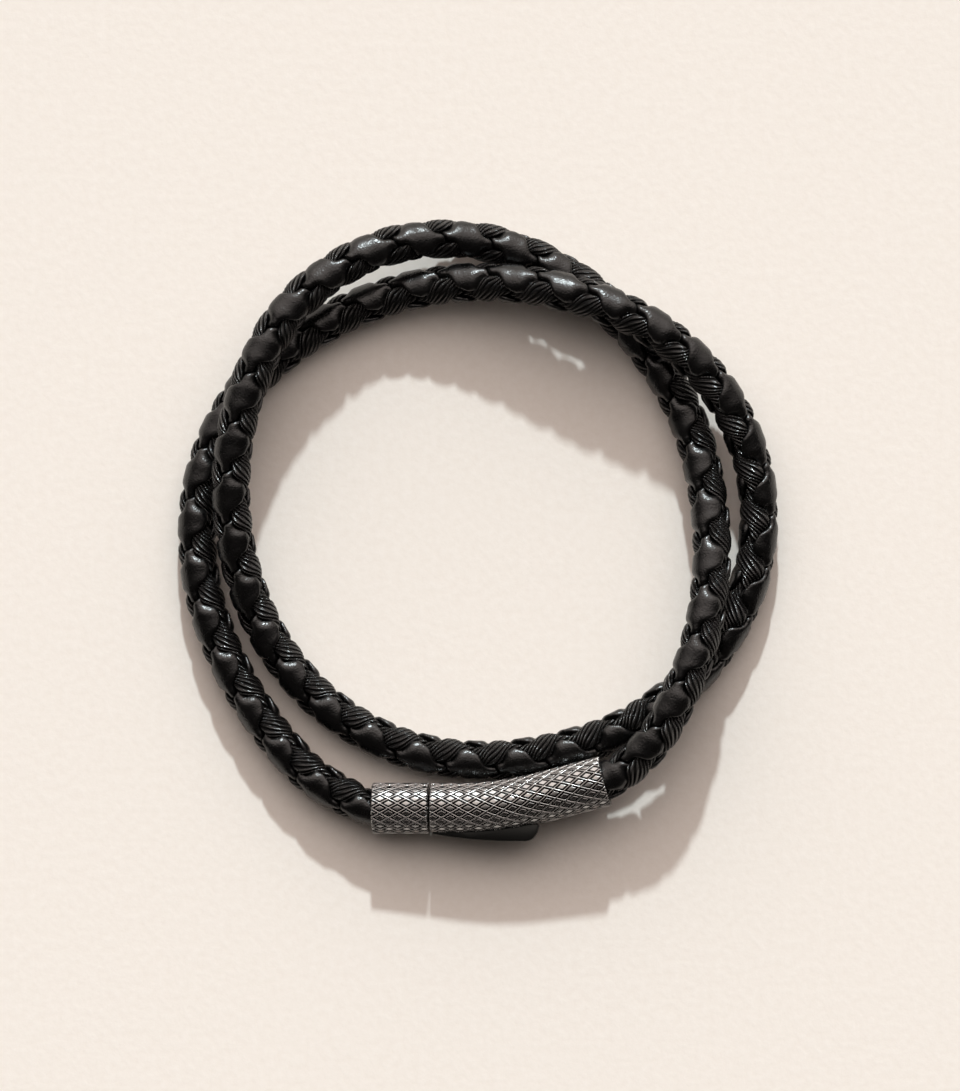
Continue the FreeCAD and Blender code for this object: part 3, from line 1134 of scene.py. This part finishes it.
def close_end(bm: bmesh.types.BMesh, end: float, steps: Sequence[Step]) -> None:
    """Carries a tube's open end through rings and fills the last one.

    Args:
        bm: Mesh of a tube about the x axis.
        end: Place of the open end.
        steps: Rings to pass, in order.
    """
    loop = [
        edge
        for edge in open_edges(bm.edges)
        if all(abs(vertex.co.x - end) < SAME_PLACE for vertex in edge.verts)
    ]
    for step in steps:
        grown = bmesh.ops.extrude_edge_only(bm, edges=loop)["geom"]
        loop = open_edges(item for item in grown if isinstance(item, bmesh.types.BMEdge))
        for vertex in {vertex for edge in loop for vertex in edge.verts}:
            share = step.radius / math.hypot(vertex.co.y, vertex.co.z)
            vertex.co = (step.place, vertex.co.y * share, vertex.co.z * share)
    bmesh.ops.holes_fill(bm, edges=loop, sides=0)


def cut_away(piece: bpy.types.Object, cutter: bpy.types.Object) -> None:
    """Cuts one closed mesh out of another and removes the cutter.

    Args:
        piece: The object that is cut.
        cutter: The object that takes its own shape out of it.
    """
    modifier = piece.modifiers.new("cut", "BOOLEAN")
    modifier.operation = "DIFFERENCE"
    modifier.solver = "EXACT"
    modifier.object = cutter
    evaluated = piece.evaluated_get(bpy.context.evaluated_depsgraph_get())
    mesh = bpy.data.meshes.new_from_object(evaluated)
    piece.modifiers.clear()
    old, piece.data = piece.data, mesh
    bpy.data.meshes.remove(old)
    bpy.data.objects.remove(cutter)


def block(low: Sequence[float], high: Sequence[float]) -> bmesh.types.BMesh:
    """A block, in millimetres.

    Args:
        low: Its corner with the lowest coordinates.
        high: Its corner with the highest.

    Returns:
        The block.
    """
    bm = bmesh.new()
    bmesh.ops.create_cube(bm, size=1.0)
    middle = [(a + b) / 2 for a, b in zip(low, high)]
    bmesh.ops.scale(bm, vec=[b - a for a, b in zip(low, high)], verts=bm.verts)
    bmesh.ops.translate(bm, vec=middle, verts=bm.verts)
    return bm


def rod(radius: float, depth: float, middle: Sequence[float], segments: int) -> bmesh.types.BMesh:
    """A round rod along z, in millimetres.

    Args:
        radius: Its radius.
        depth: Its length.
        middle: Its middle point.
        segments: Number of its flat sides.

    Returns:
        The rod.
    """
    bm = bmesh.new()
    bmesh.ops.create_cone(bm, cap_ends=True, segments=segments, radius1=radius, radius2=radius, depth=depth)
    bmesh.ops.translate(bm, vec=middle, verts=bm.verts)
    return bm


@dataclass
class Clasp:
    """Knurled collar and barrel, the press lever and its pin."""

    frame: ClaspFrame
    pin: bpy.types.Object
    edge_break: float = 0.14
    bore_break: float = 0.12
    collar_bore_radius: float = 2.42
    barrel_bore_radius: float = 2.72
    tongue_radius: float = 1.70
    tongue_length: float = 3.20
    neck_radius: float = 1.00
    neck_start: float = 0.65
    neck_length: float = 1.70
    tongue_bore_radius: float = 1.85
    tongue_bore_depth: float = 3.40
    slot_width: float = 2.00
    slot_floor: float = -0.10
    slot_end: float = 22.20
    slot_overrun: float = 1.0

    def _bored_end(self, end: float, inward: float, radius: float, depth: float) -> list[Step]:
        """Rings of an end face with both its edges broken, and of the bore behind it.

        Args:
            end: Place of the end along the clasp.
            inward: 1 where the bore runs along the clasp, -1 where it runs back.
            radius: Radius of the bore.
            depth: Depth of the bore.

        Returns:
            The rings, from the outside to the bore's floor.
        """
        return [
            Step(end, self.frame.radius - self.edge_break),
            Step(end, radius + self.bore_break),
            Step(end + inward * self.bore_break, radius),
            Step(end + inward * depth, radius),
        ]

    def _finish(self, bm: bmesh.types.BMesh, name: str) -> bpy.types.Object:
        """Bends a clasp part along the clasp and puts it where the clasp lies.

        Args:
            bm: The part's mesh as if the clasp were straight.
            name: Name of the piece.

        Returns:
            The finished object.
        """
        straight = np.array([vertex.co[:] for vertex in bm.verts])
        place_vertices(bm, self.frame.bend(straight))
        return finish_mesh(bm, name, self.frame.placement())

    def build_collar(self) -> bpy.types.Object:
        """The short half: a cup for the cord, and the tongue that locks into the barrel.

        Returns:
            The collar.
        """
        seam = self.frame.collar_length
        neck = seam + self.neck_start
        flange = neck + self.neck_length
        bm = DiamondKnurl(self.frame.radius).shell(self.edge_break, seam - self.edge_break)
        cup = self._bored_end(0.0, 1.0, self.collar_bore_radius, self.frame.collar_bore_depth)
        close_end(bm, self.edge_break, cup)
        tongue = [
            Step(seam, self.frame.radius - self.edge_break),
            Step(seam, self.tongue_radius),
            Step(neck, self.tongue_radius),
            Step(neck, self.neck_radius),
            Step(flange, self.neck_radius),
            Step(flange, self.tongue_radius),
            Step(seam + self.tongue_length, self.tongue_radius),
        ]
        close_end(bm, seam - self.edge_break, tongue)
        return self._finish(bm, "clasp_collar_knurled")

    def build_barrel(self) -> bpy.types.Object:
        """The long bent half, slotted on its outer side for the lever.

        Returns:
            The barrel.
        """
        start = self.frame.barrel_start
        end = start + self.frame.barrel_length
        bm = DiamondKnurl(self.frame.radius).shell(start + self.edge_break, end - self.edge_break)
        socket = self._bored_end(start, 1.0, self.tongue_bore_radius, self.tongue_bore_depth)
        close_end(bm, start + self.edge_break, socket)
        mouth = self._bored_end(end, -1.0, self.barrel_bore_radius, self.frame.barrel_bore_depth)
        close_end(bm, end - self.edge_break, mouth)
        barrel = self._finish(bm, "clasp_barrel_knurled")
        slot = block(
            (start - self.slot_overrun, -self.frame.radius - self.slot_overrun, -self.slot_width / 2),
            (self.slot_end, self.slot_floor, self.slot_width / 2),
        )
        cut_away(barrel, finish_mesh(slot, "slot_cutter", self.frame.placement()))
        return barrel

    def build(self) -> None:
        """Makes and dresses both halves and the lever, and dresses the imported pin."""
        gunmetal = GunmetalSteel().material()
        satin = SatinDarkSteel().material()
        settle(self.build_collar(), MAIN_BODY, gunmetal, ("clasp_collar",))
        settle(self.build_barrel(), MAIN_BODY, gunmetal, ("clasp_barrel",))
        settle(Lever(self.frame).build(), LEVER_BODY, satin, ("clasp_lever",))
        self.pin.data.materials.clear()
        self.pin.data.materials.append(satin)
        log.info("%s: keeps its packed mesh", self.pin.name)


@dataclass(frozen=True)
class Lever:
    """Flat press lever with a rounded tail, its nose and the hole for its pin."""

    frame: ClaspFrame
    width: float = 1.70
    start: Pair = (7.85, -3.34)
    outer_middle: Pair = (13.98, -4.13)
    outer_end: Pair = (19.60, -4.28)
    corner_middle: Pair = (20.95, -3.92)
    corner_end: Pair = (21.55, -3.05)
    tip: Pair = (21.75, -2.25)
    inner_y: float = -2.00
    tip_bevel: float = 0.3
    nose_x: Pair = (8.35, 9.25)
    nose_y: float = -1.35
    pin: Pair = (11.90, -1.90)
    hole_radius: float = 0.50
    boss_radius: float = 0.95
    edge_round: float = 0.16
    edge_steps: int = 3
    arc_steps: int = 14
    hole_steps: int = 32
    sharp_angle: float = 35.0

    def _arc(self, a: Sequence[float], b: Sequence[float], c: Sequence[float]) -> list[Pair]:
        """Points of a circular arc.

        Args:
            a: Its first point.
            b: A point on its way.
            c: Its last point, which is left out.

        Returns:
            The points, in order.
        """
        chords = np.array([b, c]) - a
        x, y = a + np.linalg.solve(2 * chords, (chords**2).sum(axis=1))
        radius = math.dist(a, (x, y))
        first = math.atan2(a[1] - y, a[0] - x)
        sweep = (math.atan2(c[1] - y, c[0] - x) - first + math.pi) % (2 * math.pi) - math.pi
        turns = [first + sweep * i / self.arc_steps for i in range(self.arc_steps)]
        return [(x + radius * math.cos(turn), y + radius * math.sin(turn)) for turn in turns]

    def _outline(self) -> list[Pair]:
        """The lever seen from above.

        Returns:
            Its corners, round from its outer start.
        """
        boss_half = math.sqrt(self.boss_radius**2 - (self.pin[1] - self.inner_y) ** 2)
        boss = self._arc(
            (self.pin[0] + boss_half, self.inner_y),
            (self.pin[0], self.pin[1] + self.boss_radius),
            (self.pin[0] - boss_half, self.inner_y),
        )
        return [
            *self._arc(self.start, self.outer_middle, self.outer_end),
            *self._arc(self.outer_end, self.corner_middle, self.corner_end),
            self.corner_end,
            self.tip,
            (self.tip[0] - self.tip_bevel, self.inner_y),
            *boss,
            (self.pin[0] - boss_half, self.inner_y),
            (self.nose_x[1], self.inner_y),
            (self.nose_x[1], self.nose_y),
            (self.nose_x[0], self.nose_y),
            (self.nose_x[0], self.inner_y),
            (self.start[0], self.inner_y),
        ]

    def build(self) -> bpy.types.Object:
        """Extrudes the outline, rounds its rims and drills the pin's hole.

        Returns:
            The lever.
        """
        low = -self.width / 2
        bm = bmesh.new()
        face = bm.faces.new([bm.verts.new((x, y, low)) for x, y in self._outline()])
        raised = bmesh.ops.extrude_face_region(bm, geom=[face])["geom"]
        top = [item for item in raised if isinstance(item, bmesh.types.BMVert)]
        bmesh.ops.translate(bm, vec=(0, 0, self.width), verts=top)
        rims = [edge for edge in bm.edges if abs(edge.verts[0].co.z - edge.verts[1].co.z) < self.width / 2]
        bmesh.ops.bevel(
            bm,
            geom=rims,
            offset=self.edge_round,
            segments=self.edge_steps,
            profile=0.5,
            affect="EDGES",
            clamp_overlap=True,
        )
        lever = finish_mesh(bm, "clasp_lever_satin", self.frame.placement())
        hole = rod(self.hole_radius, self.width * 2, (*self.pin, 0.0), self.hole_steps)
        cut_away(lever, finish_mesh(hole, "hole_cutter", self.frame.placement()))
        lever.data.set_sharp_from_angle(angle=math.radians(self.sharp_angle))
        return lever


@dataclass(frozen=True)
class Studio:
    """Table, light and camera: the view from straight above that the photograph has."""

    millimetres_per_pixel: float = 0.13
    image_width: int = 960
    image_height: int = 1091
    middle_pixel: Pair = (478.0, 530.5)
    camera_height: float = 400.0
    table_size: float = 3000.0
    light_elevation: float = 28.0
    light_spread: float = 2.4
    light_strength: float = 2.9
    light_colour: tuple[float, float, float] = (0.89, 1.0, 1.03)
    fill_colour: tuple[float, float, float] = (1.0, 0.88, 0.82)
    fill_elevation: float = 25.0
    fill_from: float = 0.22
    fill_floor: float = 0.05
    fill_strength: float = 2.12

    def build_table(self) -> None:
        """A pale sheet of paper that the bracelet lies on."""
        bm = bmesh.new()
        bmesh.ops.create_grid(bm, x_segments=2, y_segments=2, size=self.table_size / 2)
        table = finish_mesh(bm, "table")
        table.data.materials.append(CreamPaper().material())
        if table.data.polygons[0].normal.z < 0:
            table.data.flip_normals()

    def _towards(self, elevation: float) -> Vector:
        """Direction from the table to the light side, at an elevation in degrees."""
        turn = math.radians(elevation)
        return Vector((0.0, math.cos(turn), math.sin(turn)))

    def build_light(self) -> None:
        """A low key light from the far side and an even warm fill."""
        key = bpy.data.lights.new("key", "SUN")
        key.energy = self.light_strength
        key.color = self.light_colour
        key.angle = math.radians(self.light_spread)
        lamp = bpy.data.objects.new("key", key)
        lamp.rotation_euler = self._towards(self.light_elevation).to_track_quat("Z", "Y").to_euler()
        bpy.context.scene.collection.objects.link(lamp)
        world = bpy.data.worlds.new("studio_fill")
        world.use_nodes = True
        tree = world.node_tree
        tree.nodes.clear()
        direction = add_node(tree, "ShaderNodeTexCoord").outputs["Generated"]
        facing = add_node(
            tree,
            "ShaderNodeVectorMath",
            {"operation": "DOT_PRODUCT", 1: self._towards(self.fill_elevation)[:]},
            {0: direction},
        ).outputs["Value"]
        strength = add_node(
            tree,
            "ShaderNodeMapRange",
            {
                "interpolation_type": "SMOOTHERSTEP",
                "From Min": self.fill_from,
                "From Max": 1.0,
                "To Min": self.fill_floor,
                "To Max": self.fill_strength,
            },
            {"Value": facing},
        ).outputs["Result"]
        shade = add_node(
            tree, "ShaderNodeBackground", {"Color": (*self.fill_colour, 1.0)}, {"Strength": strength}
        )
        output = add_node(tree, "ShaderNodeOutputWorld")
        tree.links.new(shade.outputs["Background"], output.inputs["Surface"])
        bpy.context.scene.world = world

    def build_camera(self) -> None:
        """A camera straight above, without perspective, framed as the photograph is."""
        lens = bpy.data.cameras.new("camera")
        lens.type = "ORTHO"
        lens.ortho_scale = self.image_height * self.millimetres_per_pixel * MM
        camera = bpy.data.objects.new("camera", lens)
        across = (self.image_width / 2 - self.middle_pixel[0]) * self.millimetres_per_pixel * MM
        up = (self.middle_pixel[1] - self.image_height / 2) * self.millimetres_per_pixel * MM
        camera.location = (across, up, self.camera_height * MM)
        bpy.context.scene.collection.objects.link(camera)
        bpy.context.scene.camera = camera
        bpy.context.scene.view_settings.view_transform = "Standard"

    def build(self) -> None:
        """Sets the whole stage."""
        self.build_camera()
        self.build_light()
        self.build_table()


def main() -> None:
    """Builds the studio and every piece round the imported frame."""
    logging.basicConfig(level=logging.INFO, format="%(name)s: %(message)s")
    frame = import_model()
    Studio().build()
    clasp_frame = ClaspFrame()
    Braid(CordRoute(clasp_frame)).build()
    Clasp(clasp_frame, frame["nodes"]["lever_pin"]).build()


if __name__ == "__main__":
    main()
